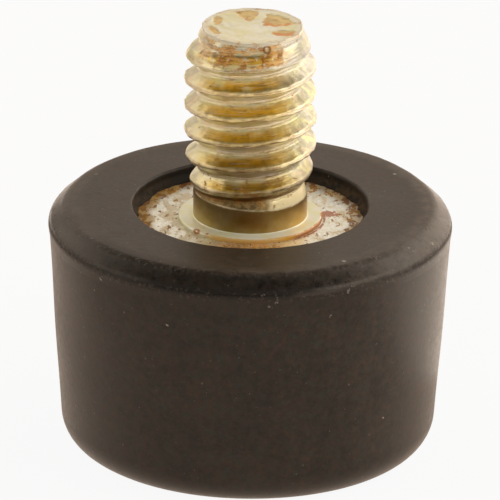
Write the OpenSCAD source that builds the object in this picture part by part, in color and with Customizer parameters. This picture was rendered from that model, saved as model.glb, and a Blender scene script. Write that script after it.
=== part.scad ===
// Round rubber foot with a threaded steel stud, in millimetres.
// The rubber is moulded and bonded round a steel plate, and the stud is riveted into that plate.
// The origin is the centre of the base, and the stud points along +Z.

/* [Rubber body] */
// Largest diameter, over the upright land below the top chamfer
body_d = 19.05; // [15.8:0.05:24]
// Height of the rubber, from its base to its top face
body_h = 11.92; // [8:0.02:20]
// Taper of the side, in degrees, narrower at the base
side_draft = 4.1; // [0:0.1:8]
// Width and height of the chamfer round the top face
top_chamfer = 0.78; // [0.3:0.02:1.1]
// Radius of the upper edge of that chamfer
top_edge_r = 0.5; // [0.04:0.02:0.6]
// Radius of the shoulder between the chamfer and the upright land
shoulder_r = 0.6; // [0.04:0.02:0.66]
// Height of the upright land under the chamfer
land_h = 0.3; // [0.28:0.02:1.2]
// How far the side draws in below that land
land_step = 0.06; // [0.01:0.01:0.15]
// Height over which it draws in
step_h = 0.4; // [0.1:0.05:1]
// Radius of the rounded edge round the base
base_edge_r = 1.64; // [0.4:0.02:2.4]

/* [Recess] */
// Diameter of the recess in the top face
recess_d = 11.12; // [9:0.02:13.6]
// Depth of the recess, from the top face down to the plate
recess_depth = 0.68; // [0.5:0.02:1.2]
// Slope of the recess wall, in degrees from upright
recess_slope = 7; // [0:1:20]
// Radius of the upper edge of the recess
recess_edge_r = 0.14; // [0.04:0.02:0.3]
// Radius of the cove at the foot of the recess wall
cove_r = 0.2; // [0.05:0.01:0.3]
// How far the thin lip of rubber reaches over the plate, past the recess wall
lip_w = 0.24; // [0.2:0.02:0.4]
// Thickness of that lip
lip_t = 0.05; // [0.03:0.01:0.15]

/* [Insert plate] */
// Diameter of the plate, hidden under the rubber's lip
plate_d = 14.3; // [11.8:0.1:17.4]
// Thickness of the plate
plate_t = 1.2; // [0.8:0.1:2]
// Radius of the plate's tumbled edges
plate_edge_r = 0.2; // [0.1:0.05:0.35]

/* [Thread] */
// Diameter over the crests of the thread
thread_d = 6.2; // [5:0.05:8]
// Distance from one crest to the next
thread_pitch = 1.27; // [0.8:0.01:1.6]
// Slope of the lead cone at the end, in degrees from the axis
lead_slope = 27; // [20:1:45]
// Height of the upright edge left between the lead cone and the end face
end_land = 0.15; // [0.1:0.01:0.6]
// Radius of the edge round the end face
end_edge_r = 0.07; // [0.02:0.01:0.1]

/* [Stud] */
// Length of the stud above the plate
stud_len = 9.67; // [7:0.01:20]
// Length of the plain shank, from the plate to the first trace of thread
shank_len = 1.4; // [0.6:0.05:2.4]
// How far the collar stands out past the crests of the thread
collar_w = 0.3; // [0.1:0.02:0.6]
// Height of the collar that seats on the plate
collar_h = 0.19; // [0.12:0.01:0.5]
// Radius of the collar's upper edge
collar_edge_r = 0.1; // [0.02:0.02:0.12]

/* [Riveted tail] */
// Diameter of the neck that passes through the plate
neck_d = 4.8; // [4:0.1:5.4]
// Gap left between the neck and its hole
neck_clearance = 0.02; // [0:0.01:0.1]
// How far the riveted head spreads past the neck
rivet_w = 1.2; // [0.6:0.1:2]
// Thickness of the riveted head
rivet_t = 0.9; // [0.6:0.1:1.6]
// Radius of the riveted head's lower edge
rivet_edge_r = 0.4; // [0.1:0.1:0.5]

/* [Hidden] */
$fn = 96;
// Largest turn between two points of an arc, in degrees
arc_step = 7.5;

rubber_colour = "#3a352e";
plate_colour = "#b9b7b2";
stud_colour = "#d9cf9c";

// Heights of the seats, from the base up
plate_top = body_h - recess_depth;
plate_bottom = plate_top - plate_t;
chamfer_z = body_h - top_chamfer;
land_z = chamfer_z - land_h;
side_z = land_z - step_h;
side_top_r = body_d / 2 - land_step;
recess_foot_r = recess_d / 2 - recess_depth * tan(recess_slope);

// A rolled thread starts from a shank of its pitch diameter, and the stud ends at its root diameter
shank_d = thread_d - 0.65 * thread_pitch;
root_d = thread_d - 1.07 * thread_pitch;
collar_d = thread_d + 2 * collar_w;
rivet_d = neck_d + 2 * rivet_w;
stud_top = plate_top + stud_len;
runout_z = plate_top + shank_len;
thread_z = runout_z + thread_pitch;
lead_top = stud_top - end_land;
lead_z = lead_top - (thread_d - root_d) / 2 / tan(lead_slope);

// Outlines are half sections: x is the radius and y the height. A corner is [x, y] or [x, y, r],
// and r turns it into an arc that touches both of its sides.
function at(c) = [c[0], c[1]];
function unit(v) = v / norm(v);
function angle_of(v) = atan2(v[1], v[0]);
function short_way(a) = a > 180 ? a - 360 : a < -180 ? a + 360 : a;

function arc(centre, r, from, sweep) =
    let (steps = ceil(abs(sweep) / arc_step))
    [for (i = [0:steps]) let (a = from + sweep * i / steps) centre + r * [cos(a), sin(a)]];

function corner(before, here, after) =
    let (
        to_before = unit(at(before) - at(here)),
        to_after = unit(at(after) - at(here)),
        half_angle = acos(to_before * to_after) / 2,
        centre = at(here) + unit(to_before + to_after) * here[2] / sin(half_angle),
        reach = here[2] / tan(half_angle),
        from = angle_of(at(here) + to_before * reach - centre),
        to = angle_of(at(here) + to_after * reach - centre)
    )
    arc(centre, here[2], from, short_way(to - from));

function outline(corners) = [
    for (i = [0:len(corners) - 1])
        let (
            before = corners[(i + len(corners) - 1) % len(corners)],
            here = corners[i],
            after = corners[(i + 1) % len(corners)]
        )
        each len(here) == 2 ? [here] : corner(before, here, after)
];

// The rubber without its metal parts: drafted side, slight step, upright land, chamfer, top face, and
// the open recess, whose wall coves out into a thin lip over the plate
function moulding_section() = outline([
    [0, 0],
    [side_top_r - side_z * tan(side_draft), 0, base_edge_r],
    [side_top_r, side_z],
    [body_d / 2, land_z],
    [body_d / 2, chamfer_z, shoulder_r],
    [body_d / 2 - top_chamfer, body_h, top_edge_r],
    [recess_d / 2, body_h, recess_edge_r],
    [recess_foot_r, plate_top + lip_t, cove_r],
    [recess_foot_r - lip_w, plate_top + lip_t],
    [recess_foot_r - lip_w, plate_top],
    [0, plate_top]
]);

// The plate from any inner radius, so that the same section makes the ring and its bonded seat
function plate_section(inner_r) = outline([
    [inner_r, plate_bottom],
    [plate_d / 2, plate_bottom, plate_edge_r],
    [plate_d / 2, plate_top, plate_edge_r],
    [inner_r, plate_top]
]);

// The spread head under the plate, which the rubber flows round
function rivet_section() = outline([
    [0, plate_bottom - rivet_t],
    [rivet_d / 2, plate_bottom - rivet_t, rivet_edge_r],
    [rivet_d / 2, plate_bottom],
    [0, plate_bottom]
]);

// The stud above the riveted head: neck, collar, shank, run-out, thread at its crests, lead cone and
// the narrow end that was cut from the bar
function shank_section() = outline([
    [0, plate_bottom],
    [neck_d / 2, plate_bottom],
    [neck_d / 2, plate_top],
    [collar_d / 2, plate_top],
    [collar_d / 2, plate_top + collar_h, collar_edge_r],
    [shank_d / 2, plate_top + collar_h],
    [shank_d / 2, runout_z],
    [thread_d / 2, thread_z],
    [thread_d / 2, lead_z],
    [root_d / 2, lead_top],
    [root_d / 2, stud_top, end_edge_r],
    [0, stud_top]
]);

module rubber_body() {
    color(rubber_colour)
        rotate_extrude()
            difference() {
                polygon(moulding_section());
                polygon(plate_section(0));
                polygon(rivet_section());
            }
}

module insert_plate() {
    color(plate_colour)
        rotate_extrude()
            polygon(plate_section(neck_d / 2 + neck_clearance));
}

module threaded_stud() {
    color(stud_colour)
        rotate_extrude()
            union() {
                polygon(rivet_section());
                polygon(shank_section());
            }
}

rubber_body();
insert_plate();
threaded_stud();
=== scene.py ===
# %% [markdown]
# # A rubber foot with a threaded stud
#
# The part is three pieces, and each is shown by one surface worked out with numpy:
#
# 1. the moulded rubber body, a short drum with a chamfered top and a shallow recess,
# 2. the round steel plate that the rubber is bonded to, seen only at the bottom of the recess,
# 3. the zinc plated stud that is riveted through the plate.
#
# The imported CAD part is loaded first, as a fixed frame. Every place and outer size below is read from
# it, so that the surfaces and the CAD solids can't drift apart.

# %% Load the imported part
import math

import bpy
import numpy as np
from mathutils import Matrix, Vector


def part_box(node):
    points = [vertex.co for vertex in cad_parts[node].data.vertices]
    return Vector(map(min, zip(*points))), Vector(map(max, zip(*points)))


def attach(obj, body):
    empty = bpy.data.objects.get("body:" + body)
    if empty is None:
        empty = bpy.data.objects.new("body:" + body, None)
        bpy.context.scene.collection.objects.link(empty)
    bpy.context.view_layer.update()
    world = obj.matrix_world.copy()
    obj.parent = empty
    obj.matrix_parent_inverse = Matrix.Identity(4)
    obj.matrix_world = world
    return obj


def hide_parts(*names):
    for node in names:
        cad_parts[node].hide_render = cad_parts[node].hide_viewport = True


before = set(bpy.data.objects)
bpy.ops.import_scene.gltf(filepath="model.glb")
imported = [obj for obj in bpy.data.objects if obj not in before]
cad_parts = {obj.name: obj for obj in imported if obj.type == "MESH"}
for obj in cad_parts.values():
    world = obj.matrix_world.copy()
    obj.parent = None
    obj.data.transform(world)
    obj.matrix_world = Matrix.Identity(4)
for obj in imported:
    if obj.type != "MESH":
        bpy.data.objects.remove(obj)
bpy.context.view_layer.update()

MM = 0.001

# %% [markdown]
# ## Sizes
#
# The boxes of the three nodes give the heights and radii that every piece is built on. The rest are
# the small sizes of each section, in millimetres, as a drawing of the part would give them.

# %% Heights and radii from the frame, in millimetres
rubber_box = [np.array(c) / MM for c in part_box("rubber_body")]
plate_box = [np.array(c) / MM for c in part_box("insert_plate")]
stud_box = [np.array(c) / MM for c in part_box("threaded_stud")]

body_r = rubber_box[1][0]
body_h = rubber_box[1][2]
plate_r = plate_box[1][0]
plate_bottom, plate_top = plate_box[0][2], plate_box[1][2]
rivet_r = stud_box[1][0]
rivet_bottom, stud_top = stud_box[0][2], stud_box[1][2]
print(f"rubber {2 * body_r:.2f} x {body_h:.2f}, plate {2 * plate_r:.2f}, stud top {stud_top:.2f}")

# %% Small sizes of the three sections, in millimetres
side_draft = math.radians(4.1)
chamfer = 0.78
top_edge_r = 0.50
roll_off = 0.75
roll_off_drop = 0.050
shoulder_r = 0.60
land_h = 0.30
land_step = 0.06
step_h = 0.40
base_edge_r = 1.64
recess_r = 5.56
recess_edge_r = 0.12
recess_wall_h = 0.36
foot_r = 5.25

collar_r = 3.40
collar_h = 0.19
shank_r = 2.69
neck_r = 2.40

pitch = 1.27
crest_r = 3.10
root_r = 2.47
crest_flat = 0.20
root_flat = 0.24
tumbled = 0.036
shank_top = 12.54
shank_rise = 0.21
shank_rise_angle = 190
runout_crest_z = 12.85
first_groove_z = 13.90
crest_growth_z = [shank_top, shank_top + 0.6, first_groove_z, 14.8]
crest_growth_r = [2.56, 2.84, 2.95, crest_r]
shoulder_slope = 0.36
shoulder_soft = 0.05
groove_soft = 0.02
cone_soft = 0.03
crest_z_left = 15.75
lead_slope = math.radians(27)
end_r = 2.38
end_land = 0.15
end_edge_r = 0.05
lean = 0.012
end_bend = 0.12
ding_place = (crest_r, 0, 16.2)
ding_size = 0.45
row_h = 0.032
print(f"thread: {(stud_top - shank_top) / pitch:.1f} turns of {pitch} mm")

# %% [markdown]
# ## Tools for surfaces
#
# All three pieces are round, so one kind of grid serves for all: its columns go round the axis and
# its rows follow a section. A section is a list of corners, as in a drawing, joined by straight runs
# and rounded by arcs. Blender's Spin or Screw could turn such a section too, but a grid of points can
# also be pushed in and out from place to place, which worn rubber and a rolled thread both need.

# %% A section with rounded corners
def section(corners):
    """Straight runs joined by arcs. A corner is (radius, height, rounding, rows): its arc touches both
    neighbouring runs, at rounding / tan(half the corner's angle) from the corner, and the run after it
    is cut into that many rows, which crowd towards both of its ends as a cosine does."""
    spots = [np.array(c[:2], float) for c in corners]
    arcs = [[spots[0]]]
    for before, here, after, corner in zip(spots, spots[1:], spots[2:], corners[1:]):
        to_before = (before - here) / np.linalg.norm(before - here)
        to_after = (after - here) / np.linalg.norm(after - here)
        half = math.acos(np.clip(to_before @ to_after, -1, 1)) / 2
        if corner[2] == 0:
            arcs.append([here])
            continue
        inwards = (to_before + to_after) / np.linalg.norm(to_before + to_after)
        middle = here + inwards * corner[2] / math.sin(half)
        first = here + to_before * corner[2] / math.tan(half) - middle
        last = here + to_after * corner[2] / math.tan(half) - middle
        turn = math.atan2(first[0] * last[1] - first[1] * last[0], first @ last)
        share = np.linspace(0, 1, max(4, round(abs(turn) * 8)) + 1)[:, None]
        side = np.array([-first[1], first[0]])
        arcs.append(list(middle + first * np.cos(turn * share) + side * np.sin(turn * share)))
    arcs.append([spots[-1]])
    line = []
    for arc, following, corner in zip(arcs, arcs[1:], corners):
        share = (0.5 - 0.5 * np.cos(np.pi * np.arange(corner[3] + 1) / corner[3]))[1:-1, None]
        line += list(arc) + list(arc[-1] + (following[0] - arc[-1]) * share)
    return np.array(line + list(arcs[-1]))


print("a rounded square corner has", len(section([(0, 0, 0, 2), (1, 0, 0.3, 2), (1, 1, 0, 2)])), "points")

# %% A closed skin over a grid of points
def skin(name, points, ring=False):
    """Points are (rows, columns, 3) in millimetres, and the columns go round the axis counter-clockwise.
    With ring the last row joins the first. Without it the first and last rows are poles, so each is
    drawn together into one point with a fan of triangles. Rows that run up the outside face outwards."""
    rows, columns = points.shape[:2]
    if ring:
        places = points.reshape(-1, 3)
        body = np.arange(rows * columns).reshape(rows, columns)
        body = np.vstack([body, body[:1]])
        fans = np.empty((0, 3), int)
    else:
        inner = points[1:-1]
        places = np.vstack([points[0].mean(0)[None], inner.reshape(-1, 3), points[-1].mean(0)[None]])
        body = 1 + np.arange((rows - 2) * columns).reshape(rows - 2, columns)
        low = np.stack([np.zeros(columns, int), np.roll(body[0], -1), body[0]], 1)
        high = np.stack([np.full(columns, len(places) - 1), body[-1], np.roll(body[-1], -1)], 1)
        fans = np.vstack([low, high])
    here, beside = body, np.roll(body, -1, 1)
    quads = np.stack([here[:-1], beside[:-1], beside[1:], here[1:]], -1).reshape(-1, 4)
    corners = np.concatenate([quads.ravel(), fans.ravel()])
    sizes = np.concatenate([np.full(len(quads), 4), np.full(len(fans), 3)])
    mesh = bpy.data.meshes.new(name)
    mesh.vertices.add(len(places))
    mesh.vertices.foreach_set("co", (places * MM).astype(np.float32).ravel())
    mesh.loops.add(len(corners))
    mesh.loops.foreach_set("vertex_index", corners.astype(np.int32))
    mesh.polygons.add(len(sizes))
    mesh.polygons.foreach_set("loop_start", (np.cumsum(sizes) - sizes).astype(np.int32))
    mesh.polygons.foreach_set("use_smooth", np.ones(len(sizes), bool))
    mesh.update(calc_edges=True)
    mesh.validate()
    piece = bpy.data.objects.new(name, mesh)
    bpy.context.scene.collection.objects.link(piece)
    print(f"{name}: {len(places)} points, {len(quads) * 2 + len(fans)} triangles")
    return piece


# %% Smooth random unevenness
def unevenness(points, size, seed, waves=40):
    """A smooth random field at any points: the sum of plane waves about size millimetres long, with
    seeded directions and phases, scaled to lie mostly between -1 and 1."""
    draw = np.random.default_rng(seed)
    directions = draw.normal(size=(waves, 3))
    directions /= np.linalg.norm(directions, axis=1)[:, None]
    lengths = size * draw.uniform(0.7, 1.6, waves)
    phases = draw.uniform(0, 2 * np.pi, waves)
    total = np.zeros(points.shape[:-1])
    for direction, length, phase in zip(directions, lengths, phases):
        total += np.sin(points @ direction * (2 * np.pi / length) + phase)
    return total / math.sqrt(waves)


def ease(value, start, end):
    """0 before start, 1 after end, and an S-shaped step between them."""
    share = np.clip((value - start) / (end - start), 0, 1)
    return share * share * (3 - 2 * share)


def around(columns):
    """Evenly spaced angles for the columns of a grid, from +X round towards +Y."""
    return np.arange(columns) * 2 * np.pi / columns


def turned(radius, height, angle):
    """Points at that radius and height, each at its column's angle."""
    return np.stack([radius * np.cos(angle), radius * np.sin(angle), height + 0 * angle], -1)


print("unevenness at three spots:", unevenness(np.eye(3), 2.0, 1).round(2))

# %% [markdown]
# ## The rubber body
#
# The rubber is moulded in a two part die, with the steel plate laid in it first. The side has draft so
# that the foot comes out, the base has a large rounding and the top a small chamfer. The recess
# wall drops steeply, then coves out over the plate and ends in a thin, ragged edge of flash. The
# section goes on under the plate's rim and round the riveted head, so the shell is closed and the
# steel sits in a real pocket.

# %% Section and grid of the rubber
chamfer_z = body_h - chamfer
land_r, land_z = body_r, chamfer_z - land_h
side_top_r, side_z = land_r - land_step, land_z - step_h
base_r = side_top_r - side_z * math.tan(side_draft)
rubber_section = section([
    (0, 0, 0, 8),
    (base_r, 0, base_edge_r, 34),
    (side_top_r, side_z, 0.30, 5),
    (land_r, land_z, 0.30, 3),
    (land_r, chamfer_z, shoulder_r, 6),
    (body_r - chamfer, body_h, top_edge_r, 7),
    (body_r - chamfer - roll_off, body_h, 0, 12),
    (recess_r, body_h, recess_edge_r, 5),
    (recess_r - 0.02, body_h - recess_wall_h, 0.14, 4),
    (foot_r + 0.10, plate_top + 0.04, 0.06, 4),
    (foot_r, plate_top - 0.005, 0, 2),
    (foot_r + 0.05, plate_top, 0, 3),
    (plate_r, plate_top, 0.20, 3),
    (plate_r, plate_bottom, 0.20, 3),
    (rivet_r, plate_bottom, 0, 3),
    (rivet_r, rivet_bottom, 0.40, 4),
    (0, rivet_bottom, 0, 2),
])
rubber_angle = around(500)
rubber_points = turned(rubber_section[:, :1], rubber_section[:, 1:], rubber_angle[None])
print("rubber grid:", rubber_points.shape[:2])

# %% [markdown]
# A moulding is never as exact as its drawing. The side waves by a few hundredths, the shoulder under the
# chamfer is nicked and rubbed, and the flash in the recess ends in an uneven line. Each of these is
# an offset along the radius that fades out away from its own zone. The top also rolls off towards its
# edge, which is an offset in height that grows with the square of the distance.

# %% Wear and moulding marks on the rubber
def near(value, centre, width):
    """1 at the centre, fading as a bell over the width on each side."""
    return np.exp(-(((value - centre) / width) ** 2))


rubber_z = rubber_points[..., 2]
rubber_rad = np.hypot(rubber_points[..., 0], rubber_points[..., 1])
outside = ease(rubber_rad, recess_r + 0.6, recess_r + 1.2)
waviness = 0.018 * unevenness(rubber_points, 7.0, 11) * outside
edge_rub = 0.020 * unevenness(rubber_points, 1.3, 12) + 0.007 * unevenness(rubber_points, 0.5, 13)
edge_rub *= near(rubber_z, chamfer_z - 0.05, 0.20) * outside
top_rub = 0.007 * unevenness(rubber_points, 0.8, 17)
top_rub *= near(rubber_rad, body_r - chamfer, 0.25) * near(rubber_z, body_h, 0.3)
lip_rub = 0.020 * unevenness(rubber_points, 0.9, 14)
lip_rub *= near(rubber_rad, recess_r, 0.10) * near(rubber_z, body_h, 0.2)
flash = 0.050 * unevenness(rubber_points, 1.3, 15) + 0.045 * unevenness(rubber_points, 0.5, 16)
flash *= near(rubber_rad, foot_r, 0.12) * near(rubber_z, plate_top, 0.12)
shift = waviness + (edge_rub + top_rub + lip_rub + flash) * (rubber_z > plate_top - 0.02)
rubber_points[..., :2] *= (1 + shift / np.maximum(rubber_rad, 0.5))[..., None]

towards_edge = np.clip((rubber_rad - (body_r - chamfer - roll_off)) / roll_off, 0, 1) ** 2
round_edge = unevenness(turned(body_r, body_h, rubber_angle[None]), 5.0, 18)
drop = roll_off_drop * np.clip(1 + 0.5 * round_edge, 0, 2)
rubber_points[..., 2] -= drop * towards_edge * ease(rubber_z, chamfer_z + 0.05, body_h - 0.10)
rubber = skin("moulded_rubber", rubber_points)

# %% [markdown]
# ## The steel plate
#
# The plate is a stamped and tumbled disc with a hole for the stud's neck. Only a narrow ring of it
# shows. Its section is a closed loop, so its grid joins up in both directions, and a slight
# unevenness keeps its reflections from looking machined.

# %% Section and grid of the plate
plate_section = section([
    (neck_r + 0.02, plate_bottom, 0, 4),
    (plate_r, plate_bottom, 0.20, 4),
    (plate_r, plate_top, 0.20, 8),
    (collar_r, plate_top, 0, 4),
    (neck_r + 0.02, plate_top, 0, 3),
    (neck_r + 0.02, plate_bottom, 0, 1),
])[:-1]
plate_angle = around(256)
plate_points = turned(plate_section[:, :1], plate_section[:, 1:], plate_angle[None])
plate_rad = np.hypot(plate_points[..., 0], plate_points[..., 1])
dented = ease(plate_rad, collar_r, collar_r + 0.3)
dented *= ease(-plate_rad, -plate_r + 0.4, -plate_r + 1.0) * (plate_points[..., 2] > plate_top - 0.01)
plate_points[..., 2] -= 0.012 * (1 + unevenness(plate_points, 1.6, 21)) * dented
plate = skin("bonded_plate", plate_points, ring=True)

# %% [markdown]
# ## The threaded stud
#
# The thread is rolled, so it starts from a plain shank of the thread's middle diameter: the dies press
# the root in and raise the crest. The radius is a function of the angle and the height alone. The
# height above the nearest crest of a right-hand helix is looked up in the thread's section, which is a
# flat crest, straight flanks and a narrow root, softened by plating and tumbling. The same height and
# the distance run along the helix are kept on the mesh, for stains that follow the thread.

# %% The thread's section
across = np.linspace(-pitch / 2, pitch / 2, 512, endpoint=False)
flank = np.clip((pitch / 2 - root_flat / 2 - np.abs(across)) / ((pitch - root_flat - crest_flat) / 2), 0, 1)
blur = np.exp(-0.5 * (across / tumbled) ** 2)
soft_flank = np.real(np.fft.ifft(np.fft.fft(flank) * np.fft.fft(np.fft.ifftshift(blur / blur.sum()))))
print("share of the full depth at root and crest:", soft_flank.min().round(3), soft_flank.max().round(3))


def thread_place(angle, height):
    """How far a point is above the nearest crest, and how many turns up the helix that crest is. The
    helix climbs one pitch for each turn counter-clockwise, and crosses -X at crest_z_left."""
    turns = (height - crest_z_left) / pitch - (angle - np.pi) / (2 * np.pi)
    nearest = np.round(turns)
    return (turns - nearest) * pitch, nearest + (angle - np.pi) / (2 * np.pi)


def stud_radius(angle, height):
    """The thread's section between its root and its crest. The first crests above the shank are lower,
    as the dies' chamfered edge leaves them, and the shank narrows upwards under them like a cone, from
    an edge that rises on one side as the first groove runs out. The lead cone cuts off the last crests
    at the top. Both joins are soft minima and maxima, which leave no crease."""
    above, turns = thread_place(angle, height)
    share = np.interp(above, across, soft_flank, period=pitch)
    crest_height = crest_z_left + turns * pitch
    crest = np.interp(crest_height, crest_growth_z, crest_growth_r)
    radius = root_r + (crest - root_r) * share
    shank_edge = shank_top + shank_rise * (0.5 + 0.5 * np.cos(angle - math.radians(shank_rise_angle))) ** 2
    shank = shank_r - shoulder_slope * shoulder_soft * np.log1p(np.exp((height - shank_edge) / shoulder_soft))
    radius = groove_soft * np.logaddexp(radius / groove_soft, shank / groove_soft)
    cone = end_r + np.maximum(stud_top - end_land - height, 0) * math.tan(lead_slope)
    return -cone_soft * np.logaddexp(-radius / cone_soft, -cone / cone_soft)


# %% Grid of the stud
stud_angle = around(240)
foot_section = section([
    (0, rivet_bottom, 0, 3),
    (rivet_r, rivet_bottom, 0.40, 3),
    (rivet_r, plate_bottom, 0, 3),
    (neck_r, plate_bottom, 0, 4),
    (neck_r, plate_top, 0, 4),
    (collar_r, plate_top, 0, 3),
    (collar_r, plate_top + collar_h, 0.10, 7),
    (shank_r, plate_top + collar_h, 0.05, 2),
    (shank_r, plate_top + collar_h + 0.1, 0, 2),
])
foot_points = turned(foot_section[:, :1], foot_section[:, 1:], stud_angle[None])
edge_z = stud_top - end_edge_r
heights = np.arange(plate_top + collar_h + 0.14, edge_z, row_h)[:, None]
cylinder = turned(crest_r + 0 * heights, heights, stud_angle[None])
ding = np.exp(-np.sum((cylinder - ding_place) ** 2, -1) / ding_size ** 2)
wander = 0.022 * unevenness(cylinder, 1.6, 33) + 0.010 * unevenness(cylinder, 0.5, 34) + 0.15 * ding
shaft_rad = stud_radius(stud_angle[None], heights + wander * ease(heights, shank_top + 0.3, shank_top + 0.8))
on_crest = ease(shaft_rad, root_r + 0.2, crest_r)
shaft_rad = shaft_rad + on_crest * (0.013 * unevenness(cylinder, 0.45, 35) + 0.05 * ding)
shaft_points = turned(shaft_rad, heights, stud_angle[None])
rim = stud_radius(stud_angle, edge_z)
rim += 0.03 * unevenness(turned(end_r, stud_top, stud_angle), 0.6, 38)
roll = np.linspace(0.12, 1, 6)[:, None] * np.pi / 2
rolled_rad = rim - end_edge_r * (1 - np.cos(roll))
rim_points = turned(rolled_rad, edge_z + end_edge_r * np.sin(roll), stud_angle[None])
inward = np.linspace(1, 0, 44)[1:, None]
face_points = turned((rim - end_edge_r) * inward, stud_top + 0 * inward, stud_angle[None])
stud_points = np.vstack([foot_points, shaft_points, rim_points, face_points])
print("stud grid:", stud_points.shape[:2])

# %% [markdown]
# The sheared end of the bar is pale where it has been rubbed flat and hollow where it tore. The hollows
# are a few slanted boxes with rounded corners and ragged outlines. The stud also leans a little in its
# plate, so each point above the collar slides sideways in step with its height, and its end was bent
# back as it was cut.

# %% Hollows in the end face, and the lean
def torn_at(x, y, rough):
    """1 in the hollows, 0 on the flat, with a soft edge. Each hollow is a slanted box with rounded
    corners, (x, y, half width, half depth, slant, taper), and rough bends its outline."""
    deepest = np.zeros(x.shape)
    for middle_x, middle_y, wide, deep, slant, taper in hollows:
        v = (y - middle_y) / deep
        u = (x - middle_x - slant * (y - middle_y)) / (wide * np.maximum(1 + taper * v, 0.15))
        deepest = np.maximum(deepest, 1 - ease((np.abs(u) ** 3 + np.abs(v) ** 3) * rough, 0.15, 1.7))
    return deepest


hollows = [
    (-0.25, 1.36, 0.40, 0.68, -0.14, 0.70),
    (1.15, 0.82, 0.62, 0.80, -0.20, -0.42),
    (-1.62, 0.72, 0.22, 0.52, 0.10, 0.0),
    (-1.78, -0.62, 0.19, 0.55, -0.35, 0.0),
    (1.50, -0.90, 0.50, 0.34, 0.15, 0.2),
]
on_face = (np.arange(len(stud_points)) >= len(stud_points) - len(face_points))[:, None]
flat_x, flat_y = stud_points[..., 0], stud_points[..., 1]
rough = np.exp(0.35 * unevenness(stud_points, 0.9, 31) + 0.40 * unevenness(stud_points, 0.35, 37))
torn = torn_at(flat_x, flat_y, rough) * on_face
torn_low = np.maximum(torn - torn_at(flat_x, flat_y - 0.40, rough), 0) * on_face
sunk = 0.026 * torn + 0.012 * (1 + unevenness(stud_points, 1.4, 32))
sunk += 0.004 * (1 + unevenness(stud_points, 0.35, 36))
stud_points[..., 2] -= sunk * on_face
slide = end_bend * ease(stud_points[..., 2], stud_top - 1.6, stud_top - 0.5)
slide -= lean * np.maximum(stud_points[..., 2] - plate_top - collar_h, 0)
stud_points[..., 0] += slide
stud = skin("threaded_stud_plated", stud_points)

# %% Places along the thread, kept on the stud's mesh
inner_points = stud_points[1:-1]
column_angle = np.broadcast_to(stud_angle[None], inner_points.shape[:2])
above, turns = thread_place(column_angle, inner_points[..., 2])
along = np.stack([turns * 2 * np.pi * crest_r, above, inner_points[..., 2]], -1).reshape(-1, 3)
along = np.vstack([along[:1], along, along[-1:]])
place = stud.data.attributes.new("thread_place", "FLOAT_VECTOR", "POINT")
place.data.foreach_set("vector", along.astype(np.float32).ravel())
tear = stud.data.attributes.new("torn", "FLOAT_VECTOR", "POINT")
tears = np.stack([torn, torn_low, 0 * torn], -1)[1:-1].reshape(-1, 3)
tear.data.foreach_set("vector", np.vstack([tears[:1], tears, tears[-1:]]).astype(np.float32).ravel())
print("thread runs", round(float(np.ptp(along[:, 0])), 1), "mm along its helix")

# %% [markdown]
# ## Writing finishes as sums
#
# A finish is a tree of nodes, and most of it is arithmetic on masks. The class below wraps one output
# of a node, so that `1 - mask` or `a * b` adds the Math node that it stands for. Everything else,
# such as a noise or a mix of two colours, comes from one method that takes the node's type, its
# settings and what goes into its sockets.

# %% Wires and finishes
class Wire:
    """One output of a node in a finish. Sums and products of wires add Math nodes."""

    def __init__(self, finish, socket):
        self.finish, self.socket = finish, socket

    def maths(self, operation, first, second):
        return self.finish.node("Math", {"operation": operation}, {0: first, 1: second})

    def __add__(self, other):
        return self.maths("ADD", self, other)

    def __sub__(self, other):
        return self.maths("SUBTRACT", self, other)

    def __rsub__(self, other):
        return self.maths("SUBTRACT", other, self)

    def __mul__(self, other):
        return self.maths("MULTIPLY", self, other)

    def __truediv__(self, other):
        return self.maths("DIVIDE", self, other)

    def __pow__(self, other):
        return self.maths("POWER", self, other)

    __radd__ = __add__
    __rmul__ = __mul__


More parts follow.
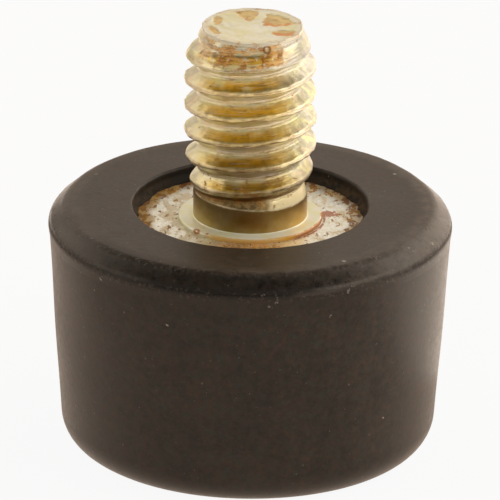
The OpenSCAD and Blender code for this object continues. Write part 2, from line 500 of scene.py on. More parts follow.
class Finish:
    """The nodes of one material."""

    def __init__(self, name):
        self.material = bpy.data.materials.new(name)
        self.material.use_nodes = True
        self.tree = self.material.node_tree
        self.tree.nodes.clear()

    def node(self, kind, settings=None, sockets=None, out=0):
        """Adds a node, applies its settings first, then fills its sockets with values or wires."""
        made = self.tree.nodes.new("ShaderNode" + kind)
        for name, value in (settings or {}).items():
            setattr(made, name, value)
        for name, value in (sockets or {}).items():
            if isinstance(value, Wire):
                self.tree.links.new(value.socket, made.inputs[name])
            else:
                made.inputs[name].default_value = value
        return Wire(self, made.outputs[out]) if made.outputs else made

    def place(self):
        """The point on the piece, in millimetres, in the piece's own coordinates."""
        metres = self.node("TexCoord", out="Object")
        return self.node("VectorMath", {"operation": "SCALE"}, {0: metres, "Scale": 1 / MM})

    def stretched(self, place, x, y, z):
        """The same place with each direction scaled, so that a pattern on it is drawn out."""
        return self.node("VectorMath", {"operation": "MULTIPLY"}, {0: place, 1: (x, y, z)})

    def noise(self, place, size, detail=3.0, rough=0.55, seed=0.0):
        """Cloudy noise from 0 to 1 with blots about size millimetres across."""
        moved = self.node("VectorMath", {"operation": "ADD"},
                          {0: place, 1: (seed * 7.3, seed * 3.1, seed * 5.7)})
        return self.node("TexNoise", None,
                         {"Vector": moved, "Scale": 1 / size, "Detail": detail, "Roughness": rough})

    def step(self, value, start, end):
        """0 before start, 1 after end, and an S-shaped step between them."""
        return self.node("MapRange", {"interpolation_type": "SMOOTHSTEP"},
                         {"Value": value, "From Min": start, "From Max": end})

    def blend(self, share, first, second):
        """The first colour where share is 0, the second where it is 1."""
        return self.node("Mix", {"data_type": "RGBA"}, {0: share, 6: first, 7: second}, out=2)

    def unsigned(self, value):
        """The value without its sign."""
        return self.node("Math", {"operation": "ABSOLUTE"}, {0: value})

    def away(self, place, centre):
        """How far the place is from a centre."""
        return self.node("VectorMath", {"operation": "DISTANCE"}, {0: place, 1: centre}, out="Value")

    def kept(self, name):
        """The vector that the mesh keeps at each point under that name."""
        return self.node("Attribute", {"attribute_name": name}, None, out="Vector")

    def apart(self, vector):
        """The three parts of a vector."""
        made = self.node("SeparateXYZ", None, {0: vector})
        return [Wire(self, made.socket.node.outputs[i]) for i in range(3)]

    def surface(self, sockets):
        """Joins a Principled shader with these sockets to the material's output."""
        shader = self.node("BsdfPrincipled", None, sockets)
        self.node("OutputMaterial", None, {"Surface": shader})
        print(self.material.name, "has", len(self.tree.nodes), "nodes")
        return self.material


def colour(red, green, blue):
    """An opaque colour from the shares of light that it sends back."""
    return (red, green, blue, 1.0)


def sway(noise, amount):
    """A noise as a swing to both sides of 0: the amount times how far the noise is from 0.5."""
    return amount * (noise - 0.5)


print("a white is", colour(1, 1, 1))


# %% [markdown]
# ## Finish of the rubber
#
# Carbon-filled rubber is nearly black, with a warm brown bloom that shows at low angles, so the colour
# is dark and the bloom is the shader's sheen. A picture of rubber could be wrapped round the piece,
# but noises in the piece's own millimetres need no unwrapping and have no seam. They come in falling
# sizes: blots from handling, clouds of dust, and the fine grain of the mould.

# %% Rubber: patterns and base colour
f = Finish("worn_rubber")
spot = f.place()
x, y, z = f.apart(spot)
radius = (x * x + y * y) ** 0.5
blots = f.noise(spot, 2.6, 3.0, 0.6, 1)
cloud = f.noise(spot, 0.50, 3.0, 0.65, 21)
warmth = f.noise(spot, 0.36, 3.0, 0.6, 23)
mottle = f.noise(spot, 0.26, 4.0, 0.7, 24)
nibbles = f.noise(spot, 0.20, 3.0, 0.65, 22)
fine = f.noise(spot, 0.16, 2.0, 0.6, 2)

rubber_dark = colour(0.0035, 0.0030, 0.0026)
brown_dust, grey_dust = colour(0.0410, 0.0240, 0.0175), colour(0.0225, 0.0255, 0.0205)
rubber_dusty = f.blend(f.step(warmth, 0.42, 0.58), brown_dust, grey_dust)
dusty = 0.30 * f.step(blots, 0.38, 0.62)
dusty = dusty + 0.40 * f.step(cloud, 0.38, 0.62) + 0.30 * f.step(mottle, 0.42, 0.58)
tone = f.blend(dusty, rubber_dark, rubber_dusty)
print("rubber is mixed from six noises")

# %% Rubber: the side, and the wall of the recess
under_shoulder = f.step(z, chamfer_z - 1.2, chamfer_z - 0.5) * f.step(z, chamfer_z + 0.1, chamfer_z)
tone = f.blend(under_shoulder * 0.35, tone, rubber_dark)
scuffed = f.step(f.noise(f.stretched(spot, 0.35, 0.35, 5.0), 0.9, 3.0, 0.6, 3), 0.62, 0.80)
tone = f.blend(scuffed * 0.35, tone, colour(0.040, 0.034, 0.028))

# The wall of the recess is painted near black: painted shade in the recess.
in_recess = f.step(z, body_h - 0.05, body_h - 0.22) * f.step(radius, recess_r + 0.12, recess_r + 0.02)
tone = f.blend(in_recess * 0.8, tone, colour(0.006, 0.005, 0.004))
wall_stain = in_recess * f.step(z + sway(cloud, 0.5), plate_top + 0.70, plate_top + 0.15)
wall_stain = wall_stain * (f.step(x, 2.0, 5.0) + 0.7 * f.step(x, -3.0, -5.5)) * f.step(cloud, 0.40, 0.60)
tone = f.blend(wall_stain * 0.60, tone, colour(0.110, 0.066, 0.024))
print(f"the wall is stained up to {plate_top + 0.70:.2f} mm")

# %% [markdown]
# Handling rubs the chamfer and the edge of the top pale. The chamfer is also painted paler towards
# the right, as painted light from that side, and the pale band along the top's edge on the right and
# far left is partly rubbed dust and partly a painted highlight. The sharp shoulder under the chamfer
# frays instead: it is a dark, ragged line at both sides, spreads over the shoulder in front, and turns
# into a pale scuff a little to the right. Small chips sit on both edges.

# %% Rubber: the rubbed chamfer and top edge, with painted light on the right
top_edge = body_r - chamfer
rubbed = f.step(z, chamfer_z - 0.25, chamfer_z + 0.05) * f.step(radius, top_edge - 0.25, top_edge + 0.1)
rubbed = rubbed * (0.35 + 0.65 * f.step(cloud, 0.30, 0.62))
# The rubbed tone grows paler towards the right: painted light from that side.
rubbed_tone_lit_right = f.blend(f.step(x, 1.5, 5.5), colour(0.044, 0.036, 0.030), colour(0.108, 0.090, 0.076))
tone = f.blend(rubbed * 0.6, tone, rubbed_tone_lit_right)
# The pale band along the top's edge is partly rubbed dust and partly a painted highlight.
lit_sides = f.step(x, -3.8, 0.2) + f.step(x, -6.6, -8.0) + 0.8 * f.step(x, 6.0, 8.0)
pale_edge_and_highlight = f.step(radius + sway(cloud, 0.5), top_edge - 1.0, top_edge - 0.35)
pale_edge_and_highlight = pale_edge_and_highlight * f.step(radius, top_edge + 0.25, top_edge - 0.15)
pale_edge_and_highlight = pale_edge_and_highlight * f.step(z, body_h - 0.6, body_h - 0.3) * lit_sides
pale_edge_and_highlight = pale_edge_and_highlight * (0.45 + 0.85 * f.step(0.5 * cloud + 0.5 * mottle, 0.40, 0.58))
tone = f.blend(pale_edge_and_highlight * 0.42, tone, colour(0.100, 0.083, 0.071))
print(f"the top edge is at radius {top_edge:.2f} mm")

# %% Rubber: the frayed shoulder and chipped edges
outer = f.step(radius, recess_r + 0.8, recess_r + 1.4)
from_shoulder = f.unsigned(z - (chamfer_z - 0.10) + sway(nibbles, 0.20))
frayed = f.step(from_shoulder, 0.12, 0.05) * outer
frayed = frayed * (0.30 + 0.45 * f.step(x, 6.5, 8.0) + 0.35 * f.step(x, -6.5, -8.5))
over_shoulder = f.unsigned(z - (chamfer_z + 0.03) + sway(nibbles, 0.16))
front_frayed = f.step(over_shoulder, 0.20, 0.08) * outer * f.step(y, -4.5, -7.5) * f.step(x, 4.2, 2.0)
frayed = frayed + front_frayed * (0.25 + 0.75 * f.step(x, -6.0, -3.5))
tone = f.blend(frayed * 0.8, tone, colour(0.005, 0.004, 0.0035))

pale_scuff = f.step(from_shoulder + sway(cloud, 0.1), 0.14, 0.02) * f.step(y, 0, -1)
pale_scuff = pale_scuff * f.step(x, 1.6, 2.6) * f.step(x, 4.8, 3.6)
tone = f.blend(pale_scuff * 0.5, tone, colour(0.10, 0.084, 0.072))
from_top_edge = f.unsigned(radius - top_edge + sway(cloud, 0.30))
chips = f.step(from_top_edge, 0.22, 0.08) * f.step(z, body_h - 0.35, body_h - 0.20)
chips = (chips + f.step(from_shoulder, 0.34, 0.16) * outer) * f.step(nibbles, 0.54, 0.62)
tone = f.blend(chips * 0.55, tone, colour(0.075, 0.062, 0.052))
print(f"the shoulder is at {chamfer_z:.2f} mm")

# %% Rubber: dust, crumbs and pale specks
def from_axis(round_angle, reach, height):
    """A place in millimetres, from its direction round the axis in degrees."""
    turn = math.radians(round_angle)
    return (reach * math.cos(turn), reach * math.sin(turn), height)


cell = f.node("TexVoronoi", None, {"Vector": spot, "Scale": 1 / 0.95}).socket.node
chosen = f.step(f.apart(Wire(f, cell.outputs["Color"]))[0], 0.68, 0.70)
dust = (1 - f.step(Wire(f, cell.outputs["Distance"]), 0.035, 0.075)) * chosen
tone = f.blend(dust * 0.60, tone, colour(0.17, 0.14, 0.12))

crumbs = 0.0
for round_angle, reach, height, size in [
    (327, 8.9, 11.75, 0.9), (314, 8.8, 11.85, 0.8), (299, 9.5, 10.95, 0.7), (341, 9.5, 10.90, 0.6),
    (237, 9.0, 11.70, 0.5), (333, 9.4, 8.40, 0.9), (276, 9.5, 10.70, 0.9), (128, 8.8, 11.80, 0.8),
]:
    crumbs = crumbs + f.step(f.away(spot, from_axis(round_angle, reach, height)), size, 0.0)
crumbs = f.step(nibbles + 0.13 * crumbs, 0.69, 0.76)
tone = f.blend(crumbs * 0.70, tone, colour(0.28, 0.24, 0.21))

specks = 0.0
for round_angle, reach, height, size in [
    (154, 8.1, 11.92, 0.10), (30, 7.9, 11.92, 0.10), (302, 8.3, 11.90, 0.12), (338, 9.3, 11.40, 0.13),
    (223, 9.45, 10.6, 0.10), (294, 9.45, 9.8, 0.08), (246, 9.40, 9.2, 0.06), (262, 9.17, 5.9, 0.06),
    (215, 8.92, 2.3, 0.08), (321, 9.05, 4.2, 0.07), (315, 9.01, 3.7, 0.06), (285, 8.87, 1.7, 0.06),
]:
    from_speck = f.away(spot, from_axis(round_angle, reach, height)) + sway(nibbles, 0.40)
    specks = specks + f.step(from_speck, size * 0.95, size * 0.35)
tone = f.blend(specks * 0.75, tone, colour(0.42, 0.38, 0.33))
print("dust is scattered, crumbs and specks are placed")

# %% Rubber: gloss, grain and sheen
worn_top = f.step(z, body_h - 0.5, body_h - 0.05)
roughness = 0.35 + 0.10 * worn_top + sway(blots, 0.14) + sway(cloud, 0.16)
roughness = roughness + sway(mottle, 0.30) + sway(fine, 0.08)
roughness = roughness + 0.10 * scuffed + 0.40 * in_recess - 0.06 * rubbed + 0.35 * frayed
grain = fine * 0.5 + cloud * 0.5 + (dust + specks + crumbs) * 0.4 + (frayed + chips) * nibbles * 1.6
bumps = f.node("Bump", None, {"Strength": 0.40, "Distance": 0.02 * MM, "Height": grain})
rubber_finish = f.surface({
    "Base Color": tone, "Roughness": roughness, "Normal": bumps,
    "Specular IOR Level": 0.39, "Specular Tint": colour(1.0, 0.94, 0.87),
    "Sheen Weight": 0.22, "Sheen Roughness": 0.40, "Sheen Tint": colour(0.54, 0.33, 0.20),
})

# %% [markdown]
# ## Finish of the plate
#
# The plate is plain steel that went through the moulding press. It is silvery where it was wiped and
# tan or brown where the release agent and the first rust took hold, most of all along the rubber.
# Every stain is a mask: where it lies comes from the radius and the side, and its ragged outline from
# a noise that is added before the step.

# %% Plate: bare steel, tan film and brown rim
f = Finish("stained_plate_steel")
spot = f.place()
x, y = f.apart(spot)[:2]
radius = (x * x + y * y) ** 0.5
rolled = f.stretched(spot, 1.0, 0.55, 1.0)
mottle = f.noise(rolled, 0.60, 4.0, 0.65, 5)
flecks = f.noise(rolled, 0.15, 3.0, 0.6, 6)
left = f.step(x, 0.5, -3.5)

tone = f.blend(f.step(flecks, 0.3, 0.7), colour(0.78, 0.79, 0.68), colour(0.96, 0.99, 0.95))
tan_stain = f.step(mottle + sway(flecks, 0.30) + 0.08 * left, 0.52, 0.62)
tone = f.blend(tan_stain * 0.50, tone, colour(0.74, 0.56, 0.26))
front_stain = f.step(y, -3.0, -3.6) * f.step(flecks, 0.25, 0.55) * f.step(x, 1.9, 1.2) * f.step(x, -2.2, -1.0)
front_tone = f.blend(f.step(mottle, 0.45, 0.6), colour(0.80, 0.38, 0.012), colour(0.45, 0.19, 0.010))
tone = f.blend(front_stain * 0.9, tone, front_tone)
rim_stain = f.step(radius + sway(mottle, 0.55) + sway(flecks, 0.35), foot_r - 0.80, foot_r - 0.25)
rim_tone = f.blend(f.step(mottle, 0.4, 0.6), colour(0.40, 0.19, 0.014), colour(0.72, 0.45, 0.070))
tone = f.blend(rim_stain * (0.45 + 0.35 * left), tone, rim_tone)
print(f"the rim is stained outside radius {foot_r - 0.80:.2f} mm")

# %% Plate: rust spots and the streak beside the collar
rust = f.step(f.noise(rolled, 0.26, 3.0, 0.62, 7) + 0.15 * rim_stain, 0.605, 0.65)
rust_tone = f.blend(f.step(mottle, 0.40, 0.60), colour(0.26, 0.085, 0.006), colour(0.50, 0.24, 0.018))
tone = f.blend(rust * 0.88, tone, rust_tone)
# The streak beside the collar's right edge is partly rust and partly painted shadow of the gap under the
# collar.
from_collar = f.unsigned(radius + sway(mottle, 0.34) - (collar_r + 0.10))
streak = f.step(from_collar, 0.09, 0.03) * f.step(x + 0.3 * y, 0.9, 1.4) * f.step(y, 0.6, 0.2)
streak = streak * f.step(flecks, 0.34, 0.46)
from_blob = f.away(spot, (collar_r + 0.30, 0.52, plate_top)) + sway(mottle, 0.7) + sway(flecks, 1.3)
streak = f.step(streak + f.step(from_blob, 0.44, 0.30), 0.1, 0.9)
streak_tone = f.blend(f.step(flecks, 0.45, 0.60), colour(0.52, 0.135, 0.015), colour(0.32, 0.080, 0.008))
tone = f.blend(streak * 0.85, tone, streak_tone)

stained = f.step(rust + streak + rim_stain + 0.4 * tan_stain + front_stain, 0.0, 1.0)
roughness = 0.30 + 0.16 * tan_stain + 0.18 * flecks + 0.15 * rust
grain = mottle * 0.6 + flecks * 0.7 + rust * 0.4
bumps = f.node("Bump", None, {"Strength": 0.7, "Distance": 0.03 * MM, "Height": grain})
plate_finish = f.surface({
    "Base Color": tone, "Metallic": 0.85 - 0.6 * stained, "Roughness": roughness, "Normal": bumps,
})

# %% [markdown]
# ## Finish of the stud
#
# The zinc has a yellow chromate film, thin and uneven, so it runs from cream to gold with hints of green
# and pink. Light and shade are painted over it: the front paler and the right side darker, the roots and
# the upper flanks at the front right darker with painted shade, and the gold of the upper flanks in front
# partly a painted reflection. Crests are partly rubbed pale and partly painted highlights. The lead cone
# and a few spots have gone to orange rust, and the torn hollows of the end face hold ochre dirt. Masks
# for the thread are written in the height above the nearest crest and the length along the helix, which
# the mesh keeps, so every stain follows it.

# %% Stud: zones and patterns
f = Finish("yellow_zinc_stud")
spot = f.place()
x, y, z = f.apart(spot)
radius = (x * x + y * y) ** 0.5
thread = f.kept("thread_place")
above = f.apart(thread)[1]
from_crest = f.unsigned(above)
crest_z = z - above
torn_mask, torn_low_mask = f.apart(f.kept("torn"))[:2]
threaded = f.step(z, shank_top + 0.1, shank_top + 0.4) * f.step(z, stud_top - 0.02, stud_top - 0.10)
end_face = f.step(z, stud_top - 0.10, stud_top - 0.04)
collar = f.step(z, plate_top + collar_h + 0.06, plate_top + collar_h + 0.02)
beside = f.step(f.unsigned(x), 1.3, 2.5)

film = f.noise(spot, 1.1, 3.0, 0.6, 8)
tint = f.noise(spot, 0.75, 3.0, 0.6, 9)
dirt = f.noise(spot, 0.42, 4.0, 0.62, 11)
speckle = f.noise(spot, 0.14, 3.0, 0.6, 10)
streaks = f.noise(f.stretched(thread, 0.16, 1.6, 0.0), 0.13, 2.0, 0.6, 12)
lines = f.noise(f.stretched(thread, 0.10, 2.6, 0.0), 0.15, 2.0, 0.65, 13)


def frontal(to_left):
    """1 where the side faces the front, 0 at the sides and -1 behind: the cosine of the angle between
    them. A larger to_left turns the front that much towards -X."""
    return (y * -0.99 + x * -to_left) / radius


front = f.step(frontal(0.10) + sway(film, 0.25), 0.25, 1.0)
print(f"the thread's colours start at {shank_top + 0.1:.2f} mm")

# %% Stud: the film with painted light and shade, golden flanks, pale crests and dark roots
# The front is painted paler and the right side darker than the film's own colour: painted light and shade.
side = f.blend(f.step(x, 0.3, 2.3), colour(0.64, 0.60, 0.44), colour(0.43, 0.42, 0.33))
tone = f.blend(front, side, colour(0.87, 0.82, 0.56))
tone = f.blend(f.step(tint, 0.48, 0.58) * 0.60, tone, colour(0.74, 0.71, 0.36))
tone = f.blend(f.step(tint, 0.42, 0.34) * 0.45, tone, colour(0.84, 0.63, 0.42))
tone = f.blend(f.step(film, 0.56, 0.66) * 0.40, tone, colour(0.84, 0.82, 0.72))

# Gold on the upper flanks in front is partly the chromate's own colour and partly a painted reflection of the
# dark overhead.
gold_front = f.step(frontal(0.08) + sway(tint, 0.22), 0.55, 0.98)
on_flank = f.step(above + sway(tint, 0.25), 0.56, 0.30) * f.step(above, 0.05, 0.16)
tone = f.blend(on_flank * front * threaded * 0.5, tone, colour(0.84, 0.70, 0.27))
gold = on_flank * gold_front * threaded * f.step(film, 0.25, 0.45)
gold_tone = f.blend(f.step(dirt, 0.42, 0.66), colour(0.84, 0.52, 0.055), colour(0.68, 0.43, 0.06))
tone = f.blend(gold, tone, gold_tone)
# Pale crests: partly rubbed, and partly a painted highlight, strongest in front.
crest = f.step(from_crest, 0.17, 0.08) * threaded
crest_tone = f.blend(gold_front, colour(0.98, 0.90, 0.68), colour(0.98, 0.83, 0.40))
crest_tone = f.blend(f.step(dirt, 0.52, 0.62) * 0.5, crest_tone, colour(0.78, 0.54, 0.25))
tone = f.blend(crest * 0.8 * (0.4 + 0.6 * front), tone, crest_tone)
# Dark roots: painted shade in the thread's roots.
root = f.step(from_crest, 0.55, 0.61) * threaded
tone = f.blend(root * (0.40 - 0.34 * beside), tone, colour(0.40, 0.28, 0.10))
# The upper flanks at the front right are painted darker: painted shade.
upper_flank = f.step(above, 0.24, 0.36) * f.step(x, 0.2, 0.8) * f.step(x, 1.9, 1.2) * f.step(y, 0.0, -1.0)
tone = f.blend(upper_flank * threaded * 0.5, tone, colour(0.42, 0.30, 0.11))
print("film, flanks, crests and roots are coloured")

# %% Stud: streaks and lines that run along the thread
streak_share = f.step(streaks, 0.54, 0.66) * (0.55 - 0.45 * beside) * threaded
tone = f.blend(streak_share, tone, colour(0.40, 0.26, 0.09))
line_share = f.step(lines, 0.44, 0.34) * (0.45 - 0.30 * beside) * threaded
tone = f.blend(line_share, tone, colour(0.97, 0.92, 0.78))
tool_lines = f.step(f.noise(f.stretched(thread, 0.05, 1.5, 0.0), 0.11, 1.0, 0.5, 16), 0.50, 0.56)
tool_lines = tool_lines * f.step(above, -0.04, -0.10) * f.step(z, 13.9, 14.4) * threaded
tone = f.blend(tool_lines * 0.85 * front, tone, colour(1.0, 0.98, 0.92))
seam = f.step(from_crest, 0.045, 0.015) * f.step(streaks * 0.5 + dirt * 0.5, 0.47, 0.54) * threaded
tone = f.blend(seam * 0.45, tone, colour(0.38, 0.21, 0.08))
print("four kinds of streak follow the helix")

# %% [markdown]
# The film lies thicker on the lower turns, so they are deeper in colour, and the first turns above the
# shank hold rust in their groove, which is also painted dark as the shadow under the crest above. Under
# them the thread runs out over the shank's rising edge: brown in front, and cream to the right, partly
# bare zinc and partly painted light. The shank itself was never rolled, and its film is smooth. Its dark
# brown, lighter to the right, is painted shade and a painted reflection of the dark recess, and its edge
# carries a painted highlight.

# %% Stud: deeper lower turns and bare zinc
front_middle = f.step(frontal(0.14) + sway(film, 0.10), 0.74, 0.97)
right_low = f.step(z, 14.9, 14.2) * f.step(x, 0.5, 1.5) * f.step(y, 0.5, -0.5) * 0.9
deepened = f.step(f.step(z, 18.3, 14.2) * front_middle + right_low, 0.0, 1.0)
deep_share = (0.48 + sway(dirt, 0.6)) * (1 - 0.65 * f.step(from_crest, 0.22, 0.48))
tone = f.blend(deepened * threaded * deep_share, tone, colour(0.12, 0.052, 0.003))
tone = f.blend(crest * f.step(x, -1.8, -2.6) * 0.35, tone, colour(0.36, 0.28, 0.14))
bare_zinc = f.step(z, 18.2, 19.4) * f.step(x + sway(tint, 0.8), 0.7, 1.7) * threaded
tone = f.blend(bare_zinc * 0.35, tone, colour(0.74, 0.74, 0.74))
print("the film deepens below 18.3 mm")

# %% Stud: the run-out and the first groove
on_shank = (1 - threaded) * (1 - collar) * (1 - end_face)
edge_turn = math.radians(shank_rise_angle)
edge_cos = (x * math.cos(edge_turn) + y * math.sin(edge_turn)) / radius
above_edge = z - (shank_top + shank_rise * (0.5 + 0.5 * edge_cos) ** 2.0)
runout = on_shank * f.step(above_edge, 0.0, 0.05)
runout = runout + threaded * f.step(crest_z, runout_crest_z + 0.10, runout_crest_z - 0.10)
in_groove = threaded * f.step(crest_z, first_groove_z + 0.15, first_groove_z - 0.15)
runout = f.step(runout + in_groove * f.step(above, -0.15, -0.28), 0.0, 1.0)
runout_grain = f.step(0.5 * dirt + 0.5 * speckle, 0.42, 0.58)
runout_tone = f.blend(runout_grain, colour(0.20, 0.11, 0.028), colour(0.50, 0.34, 0.12))
# The cream to the right is partly bare zinc and partly painted light from that side.
right_part = f.step(x + sway(tint, 0.7), 0.55, 1.25)
runout_tone = f.blend(right_part, runout_tone, colour(1.0, 0.89, 0.56))
tone = f.blend(runout * 0.85, tone, runout_tone)
# The dark first groove is partly rust and partly painted shadow under the crest above it.
groove = in_groove * f.step(above, -0.14, -0.24) * f.step(above, -0.62, -0.50)
groove = groove * f.step(y, 0.0, -1.0) * f.step(dirt, 0.30, 0.50)
tone = f.blend(groove * 0.75, tone, colour(0.20, 0.09, 0.02))
print(f"the run-out's crest is under {runout_crest_z} mm")

# %% Stud: the shank's painted shade and the painted highlight on its edge
# The shank's dark brown, lighter to the right, is painted shade and a painted reflection of the dark recess.
painted_shank_shade = on_shank * f.step(above_edge + sway(dirt, 0.06), 0.03, -0.03)
right_share = f.step(x + sway(film, 1.2), -1.0, 2.6)
shank_shade_tone = f.blend(right_share, colour(0.27, 0.17, 0.040), colour(0.56, 0.33, 0.08))
shank_shade_tone = f.blend(f.step(x + sway(film, 0.5), -1.5, -2.5), shank_shade_tone, colour(0.42, 0.30, 0.09))
tone = f.blend(painted_shank_shade * (0.88 + sway(tint, 0.3)), tone, shank_shade_tone)
# A painted highlight along the shank's rising edge.
edge_gap = above_edge + sway(dirt, 0.16)
painted_edge_highlight = f.step(edge_gap, -0.05, 0.0) * f.step(edge_gap, 0.08, 0.03) * f.step(tint, 0.42, 0.56)
tone = f.blend(painted_edge_highlight * 0.8, tone, colour(0.97, 0.88, 0.62))
print(f"the shank's edge rises by {shank_rise} mm at {shank_rise_angle} degrees")

# %% [markdown]
# The collar is where water stands. It stays pale on top, with a dark rust-coloured line along its foot on
# the right that is partly rust and partly painted shadow of a gap under the collar, amber along the
# front, and one drop that dried to an open ring.

# %% Stud: the collar
collar_tone = f.blend(f.step(tint, 0.42, 0.60), colour(0.98, 1.0, 0.85), colour(0.95, 0.96, 0.67))
tone = f.blend(collar * 0.92, tone, collar_tone)
collar_edge = radius + sway(dirt, 0.16) + sway(tint, 0.10)
# The line along the collar's foot on the right is partly rust and partly painted shadow of the gap under the
# collar.
collar_line = collar * f.step(collar_edge, collar_r - 0.11, collar_r - 0.03) * f.step(x + 0.3 * y, 0.2, 0.9)
tone = f.blend(collar_line * 0.85, tone, colour(0.46, 0.145, 0.010))
collar_amber = collar * f.step(radius + sway(tint, 0.20), collar_r - 0.16, collar_r - 0.03)
collar_amber = collar_amber * f.step(y, -2.3, -3.1)
tone = f.blend(collar_amber * 0.8, tone, colour(0.82, 0.43, 0.022))

collar_top = plate_top + collar_h
from_ring = f.away(spot, from_axis(222, collar_r + 0.02, collar_top)) + sway(dirt, 0.30)
ring_opens_x = -2.26
ring = f.step(from_ring, 0.24, 0.17) * f.step(from_ring, 0.02, 0.10)
ring = ring * f.step(x - ring_opens_x, 0.16, -0.06)
from_dot = f.away(spot, from_axis(233, collar_r - 0.10, collar_top)) + sway(dirt, 0.30)
dot = f.step(from_dot, 0.12, 0.05) * f.step(from_dot, -0.08, 0.0)
for drop in (ring, dot):
    tone = f.blend(drop * 0.80, tone, colour(0.50, 0.15, 0.012))
print(f"the collar's top is at {collar_top:.2f} mm")

# %% Stud: rust on the lead cone, and its pit
under_face = f.step(z, stud_top - 1.40, stud_top - 0.95) * f.step(z, stud_top - 0.03, stud_top - 0.10)
lead_rust = under_face * front * f.step(x + sway(dirt, 0.5), 1.9, 1.2)
brushed = f.noise(f.stretched(thread, 0.45, 1.3, 0.0), 0.42, 3.0, 0.6, 14)
rusty = f.step(brushed * 0.8 + dirt * 0.35 + sway(speckle, 0.10), 0.52, 0.61) * lead_rust
rust_depth = f.step(streaks * 0.4 + dirt * 0.6, 0.43, 0.58)
rusty_tone = f.blend(rust_depth, colour(1.0, 0.55, 0.16), colour(0.50, 0.20, 0.028))
tone = f.blend(rusty * 0.92, tone, rusty_tone)
lead_cream = f.step(f.noise(f.stretched(thread, 0.6, 1.0, 0.0), 0.24, 2.0, 0.6, 15), 0.56, 0.62) * lead_rust
tone = f.blend(lead_cream * 0.8, tone, colour(0.93, 0.84, 0.58))
pit_x, pit_y, pit_z = from_axis(286, 2.45, stud_top - 0.29)
pit_shift = 0.02
from_pit = f.away(spot, (pit_x + pit_shift, pit_y, pit_z)) + sway(dirt, 0.08)
pit = f.step(from_pit, 0.24, 0.18) * f.step(from_pit, 0.06, 0.13)
tone = f.blend(pit * 0.8, tone, colour(0.26, 0.11, 0.02))
low_turns = f.step(z, 14.9, 13.9) * threaded * front
spots = f.step(dirt * 0.8 + speckle * 0.2 + 0.03 * gold + 0.03 * lead_rust + 0.075 * low_turns, 0.62, 0.70)
spots = spots * (1 - 0.8 * collar)
tone = f.blend(spots * 0.70, tone, colour(0.42, 0.18, 0.020))
print("rust on the lead cone, a pit and loose spots")

# %% Stud: the end face and its hollows
face_tone = f.blend(f.step(film, 0.40, 0.60), colour(0.78, 0.76, 0.50), colour(0.84, 0.86, 0.76))
tone = f.blend(end_face * (1 - spots) * 0.8, tone, face_tone)
torn_tone = f.blend(f.step(film, 0.35, 0.65), colour(0.82, 0.62, 0.24), colour(0.62, 0.40, 0.11))
torn_tone = f.blend(f.step(dirt, 0.52, 0.64) * 0.6, torn_tone, colour(0.46, 0.22, 0.05))
tone = f.blend(f.step(torn_mask, 0.10, 0.85) * 0.9, tone, torn_tone)
torn_low_share = f.step(torn_low_mask, 0.20, 0.95) * (0.25 + 0.60 * f.step(x, 0.1, 0.6))
tone = f.blend(torn_low_share, tone, colour(0.78, 0.32, 0.10))
end_edge = f.step(z, stud_top - 0.17, stud_top - 0.11) * f.step(radius, 2.05, 2.20)
edge_tone = f.blend(f.step(dirt, 0.52, 0.64), colour(1.0, 0.93, 0.74), colour(0.84, 0.56, 0.28))
tone = f.blend(end_edge * 0.8, tone, edge_tone)
print(f"{len(hollows)} hollows are filled with dirt")

# %% Stud: what is dull, what shines, and the grain
lip = f.step(above, 0.02, 0.08) * f.step(above, 0.24, 0.15) * front * threaded
matt = rusty * 0.8 + spots * 0.7 + torn_mask * 0.6 + collar * (0.92 - 0.55 * beside) + end_edge
matt = matt + lip * 0.4 + lead_rust * 0.3 + tool_lines * 0.5 * front
metal = 1 - f.step(matt, 0.0, 1.0) * 0.85
roughness = 0.38 + sway(film, 0.14) + sway(speckle, 0.16) + 0.16 * spots + 0.12 * collar
along_thread = (streaks * 0.8 + lines * 0.5) * threaded * (1 - 0.8 * beside)
grain = speckle * 0.4 + dirt * 0.4 + along_thread + spots * 0.4
bumps = f.node("Bump", None, {"Strength": 0.6, "Distance": 0.03 * MM, "Height": grain})
stud_finish = f.surface({
    "Base Color": tone, "Metallic": metal, "Roughness": roughness, "Normal": bumps,
    "Specular IOR Level": 0.30,
})

# %% [markdown]
# ## Attaching each piece to the frame
#
# The part has one body, root, so every piece rides on it. Each piece stands for its CAD node, which is
# hidden, and takes its finish.

# %% Finishes, bodies, slots and replaced nodes
for piece, finish, slot, node in [
    (rubber, rubber_finish, "rubber", "rubber_body"),
    (plate, plate_finish, "plate_steel", "insert_plate"),
    (stud, stud_finish, "stud_steel", "threaded_stud"),
]:
    piece.data.materials.append(finish)
    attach(piece, "root")
    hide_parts(node)

# %% [markdown]
# ## Floor and light
#
# The part stands on a white table in an even, dim room. Seven soft lamps stand round it like the lit
# panels of a light tent: cooler in front, a little warmer behind, and brightest on the right. A lit
# sheet on the table brightens the right side from below. A dark card overhead and another in front
# keep black rubber black, because smooth rubber mirrors whatever it faces. The cards and lamps are
# hidden from the camera.
#
# Together they are dim and warm, and brighter on the right than on the left. The metal's colours are
# written paler to make up for that, so under full light the part looks brighter and paler than it does here.
#
# The table mixes a matt white, which takes the part's shadow, with a glow that only the camera and
# mirrored rays see. The glow is warm in mirrored rays, so it colours the rubber's sides and bare metal
# without lighting anything.

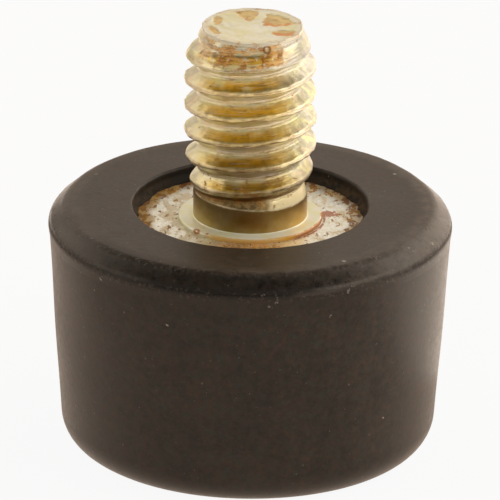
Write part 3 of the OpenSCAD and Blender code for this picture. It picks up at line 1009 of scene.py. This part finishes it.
# %% Floor
def flat_card(name, centre, wide, high, facing, finish):
    """A rectangle round its centre, square to the direction that it faces, in metres."""
    facing = np.array(facing, float) / np.linalg.norm(facing)
    side = np.cross((0, 0, 1), facing) if abs(facing[2]) < 0.99 else np.array([1.0, 0, 0])
    side /= np.linalg.norm(side)
    up = np.cross(facing, side)
    signs = np.array([(-1, -1), (1, -1), (1, 1), (-1, 1)])
    corners = np.array(centre) + signs[:, :1] * side * wide / 2 + signs[:, 1:] * up * high / 2
    mesh = bpy.data.meshes.new(name)
    mesh.from_pydata(corners.tolist(), [], [(0, 1, 2, 3)])
    card = bpy.data.objects.new(name, mesh)
    bpy.context.scene.collection.objects.link(card)
    card.data.materials.append(finish)
    return card


f = Finish("white_table")
path = f.node("LightPath")
ray = path.socket.node.outputs
seen = Wire(f, ray["Is Camera Ray"]) + Wire(f, ray["Is Glossy Ray"]) + Wire(f, ray["Is Transmission Ray"])
share = f.node("Math", {"operation": "MINIMUM"}, {0: seen, 1: 1.0}) * 0.92
matt = f.node("BsdfDiffuse", None, {"Color": colour(0.90, 0.90, 0.90)})
glow = f.blend(Wire(f, ray["Is Camera Ray"]), colour(1.0, 0.82, 0.68), colour(1, 1, 1))
white = f.node("Emission", None, {"Color": glow, "Strength": 1.0})
f.node("OutputMaterial", None, {"Surface": f.node("MixShader", None, {0: share, 1: matt, 2: white})})
flat_card("floor", (0, 0, 0), 8.0, 8.0, (0, 0, 1), f.material)

f = Finish("dark_card")
f.node("OutputMaterial", None, {"Surface": f.node("BsdfDiffuse", None, {"Color": colour(0.03, 0.03, 0.03)})})
dark_card = f.material
for name, centre, wide, high, facing in [
    ("card_overhead", (0, 0, 0.55), 1.0, 1.0, (0, 0, -1)),
    ("card_front", (-0.25, -0.55, 0.09), 0.80, 0.18, (0.4, 1, 0)),
]:
    card = flat_card(name, centre, wide, high, facing, dark_card)
    card.visible_camera = False
print("table and two dark cards")

# %% World and lamps
daylight = colour(1.0, 0.91, 0.80)
lamplight = colour(1.0, 0.85, 0.71)
world = bpy.data.worlds.new("white_room")
world.use_nodes = True
world.node_tree.nodes["Background"].inputs["Color"].default_value = daylight
world.node_tree.nodes["Background"].inputs["Strength"].default_value = 0.25
bpy.context.scene.world = world


def soft_lamp(name, round_angle, height_angle, distance, wide, high, brightness, tint=daylight):
    """A lit rectangle that faces the part, from a direction given in degrees: round_angle from +X
    towards +Y, and height_angle above the table. Brightness 1 looks as bright as white paper: the
    power is brightness times pi times the area."""
    lamp = bpy.data.lights.new(name, "AREA")
    lamp.shape = "RECTANGLE"
    lamp.size, lamp.size_y = wide, high
    lamp.energy = brightness * math.pi * wide * high
    lamp.color = tint[:3]
    holder = bpy.data.objects.new(name, lamp)
    bpy.context.scene.collection.objects.link(holder)
    turn, lift = math.radians(round_angle), math.radians(height_angle)
    reach = distance * math.cos(lift)
    holder.location = (reach * math.cos(turn), reach * math.sin(turn), distance * math.sin(lift))
    holder.rotation_euler = (math.pi / 2 - lift, 0, turn + math.pi / 2)
    holder.visible_camera = False
    print(f"{name}: {lamp.energy:.2f} W")
    return holder


def table_panel(name, round_angle, near_edge, deep, wide, brightness):
    """A lit sheet that lies on the table, face up, with its near edge square to round_angle."""
    sheet = soft_lamp(name, round_angle, 0, 1, deep, wide, brightness)
    turn = math.radians(round_angle)
    reach = near_edge + deep / 2
    sheet.location = (reach * math.cos(turn), reach * math.sin(turn), 0.0005)
    sheet.rotation_euler = (math.pi, 0, turn)


table_panel("sheet_right", 45, 0.012, 0.25, 0.40, 0.75)
soft_lamp("lamp_right", 12, 32, 0.60, 0.38, 0.36, 2.5)
soft_lamp("lamp_right_back", 54, 23, 0.60, 0.38, 0.44, 2.0, lamplight)
soft_lamp("lamp_back", 95, 26, 0.60, 0.40, 0.36, 0.85, lamplight)
soft_lamp("lamp_left_back", 138, 28, 0.60, 0.40, 0.36, 1.05, lamplight)
soft_lamp("lamp_left", 182, 28, 0.60, 0.40, 0.36, 1.2)
soft_lamp("lamp_front_right", 325, 34, 0.60, 0.38, 0.32, 2.0)
soft_lamp("lamp_front_left", 250, 40, 0.60, 0.50, 0.26, 0.6)

# %% [markdown]
# ## Camera
#
# A long lens from a little above, nearly as flat as a parallel view. It looks at a point on the axis
# just under the top of the rubber, and is turned a touch about its own line of sight.

# %% Camera
view_height = math.radians(22.05)
view_turn = 0.01166
view_distance = 690.9 * MM
look_at = np.array([0.0095, 0.0, body_h - 2.36]) * MM
back = np.array([0.0, -math.cos(view_height), math.sin(view_height)])
lens = bpy.data.cameras.new("camera")
lens.lens = 1054.2
lens.sensor_width = 36.0
lens.clip_start, lens.clip_end = 0.05, 20.0
camera = bpy.data.objects.new("camera", lens)
bpy.context.scene.collection.objects.link(camera)
camera.location = look_at + back * view_distance
camera.rotation_euler = (math.pi / 2 - view_height, 0, 0)
camera.rotation_euler.rotate_axis("Z", view_turn)
bpy.context.scene.camera = camera
bpy.context.scene.view_settings.view_transform = "Standard"
print("camera at", [round(v, 4) for v in camera.location])
